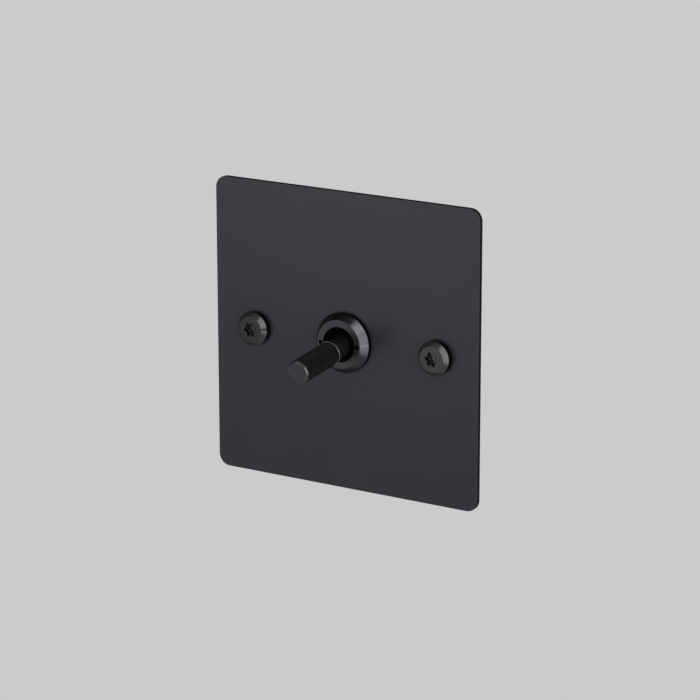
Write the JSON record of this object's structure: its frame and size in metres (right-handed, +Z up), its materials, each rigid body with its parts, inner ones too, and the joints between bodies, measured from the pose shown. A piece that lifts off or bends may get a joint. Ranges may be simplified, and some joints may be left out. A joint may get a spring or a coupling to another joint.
{
  "type": "toggle wall switch",
  "caption": "One-gang toggle light switch: flat square metal wall plate, turned bezel nut, fluted lever and a two-way switch module with screw terminals behind.",
  "frame": {"origin": "centre of the wall plate's back face, where it meets the wall", "axes": "+Y into the wall along the plate's normal, +Z up the wall, +X to the right seen from the room; the lever points along -Y"},
  "size_m": [0.087, 0.0562, 0.087],
  "materials": {
    "plate_coat": "fine satin powder coat, near black grey",
    "black_metal": "blackened turned metal, satin",
    "dark_polish": "blackened metal, polished",
    "steel": "plain steel, fine rolled grain",
    "zinc_steel": "bright zinc plated steel",
    "brass": "drawn brass",
    "silver": "silver alloy contact face",
    "moulding": "black thermoset moulding",
    "fibre": "brown vulcanised fibre sheet"
  },
  "bodies": {
    "base": {"front_plate": "plate_coat", "bezel_ring_nut": "black_metal", "fixing_screw_left": "black_metal", "fixing_screw_right": "black_metal", "threaded_bush": "black_metal", "pivot_pin": "steel", "lock_washer": "steel", "rear_lock_nut": "zinc_steel", "switch_cradle": "steel", "insulator_plate": "fibre", "switch_housing": "moulding", "com_terminal": "brass", "l1_terminal": "brass", "l2_terminal": "brass", "fixed_contact_l1": "silver", "fixed_contact_l2": "silver", "clamp_plate_com": "zinc_steel", "clamp_plate_l1": "zinc_steel", "clamp_plate_l2": "zinc_steel", "terminal_screw_com": "zinc_steel", "terminal_screw_l1": "zinc_steel", "terminal_screw_l2": "zinc_steel", "earth_block": "brass", "earth_screw": "brass"},
    "lever": {"lever_stem": "dark_polish", "grip_sleeve": "black_metal", "grip_collar": "dark_polish", "plunger_spring": "steel"},
    "plunger": {"plunger": "brass"},
    "rocker": {"rocker_contact": "brass", "moving_contact_l1": "silver", "moving_contact_l2": "silver"}
  },
  "joints": [
    {"name": "lever_throw", "type": "hinge", "parent": "base", "child": "lever", "pos_m": [0, 0.0035, 0], "axis": [1, 0, 0], "range_deg": [-12, 0]},
    {"name": "plunger_slide", "type": "slide", "parent": "lever", "child": "plunger", "axis": [0, -0.9945, -0.1045], "range_m": [0, 0.0008], "stiffness_N_per_m": 400, "deforming": ["plunger_spring"]},
    {"name": "rocker_tilt", "type": "hinge", "parent": "base", "child": "rocker", "pos_m": [0, 0.0161, 0], "axis": [1, 0, 0], "range_deg": [0, 12]}
  ],
  "couplings": [
    {"joint": "rocker_tilt", "follows": "lever_throw", "ratio": -1}
  ]
}
